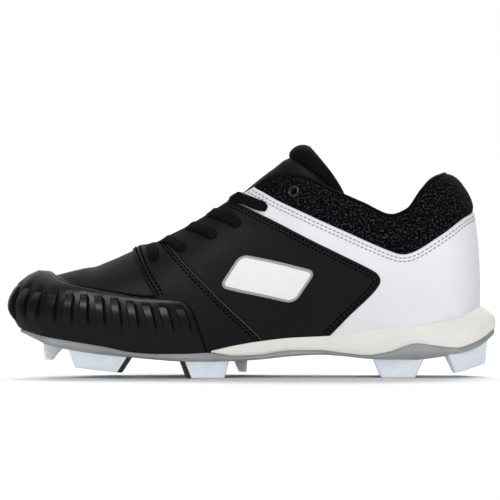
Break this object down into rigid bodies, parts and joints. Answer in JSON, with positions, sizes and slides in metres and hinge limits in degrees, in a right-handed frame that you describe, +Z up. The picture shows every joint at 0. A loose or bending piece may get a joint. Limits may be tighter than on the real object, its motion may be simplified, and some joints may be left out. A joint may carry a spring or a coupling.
{
  "type": "studded softball shoe",
  "caption": "Low-cut right field shoe with moulded studs, a ribbed rubber toe guard, a laced black front, a white heel panel and a hollow upper for the foot.",
  "frame": {"origin": "on the floor, under the middle of the shoe's bounding box", "axes": "+Z up; toe towards -X and heel towards +X; inner side of the foot towards -Y"},
  "size_m": [0.2867, 0.1002, 0.1373],
  "materials": {
    "grey_plate": "satin moulded plastic",
    "pale_stud": "glossy moulded plastic",
    "white_foam": "painted foam",
    "black_textile": "woven",
    "black_leather": "smooth synthetic leather",
    "black_rubber": "satin moulded rubber",
    "white_leather": "smooth synthetic leather"
  },
  "bodies": {
    "root": {"outsole_plate": "grey_plate", "cleat_toe": "pale_stud", "cleat_front_medial": "pale_stud", "cleat_front_lateral": "pale_stud", "cleat_mid_medial": "pale_stud", "cleat_mid_lateral": "pale_stud", "cleat_waist_lateral": "pale_stud", "cleat_heel_medial": "pale_stud", "cleat_heel_lateral": "pale_stud", "cleat_rear_medial": "pale_stud", "cleat_rear_lateral": "pale_stud", "midsole": "white_foam", "insole": "black_textile", "upper": "black_leather", "toe_guard": "black_rubber", "vamp_band": "black_leather", "saddle_medial": "black_leather", "saddle_lateral": "black_leather", "heel_panel": "white_leather", "badge_medial": "white_leather", "badge_lateral": "white_leather", "tongue": "black_textile", "lace_bar": "black_textile", "lace_cross_1": "black_textile", "lace_cross_2": "black_textile", "lace_cross_3": "black_textile", "lace_cross_4": "black_textile", "eyelet_medial": "black_rubber", "eyelet_lateral": "black_rubber"}
  },
  "joints": []
}
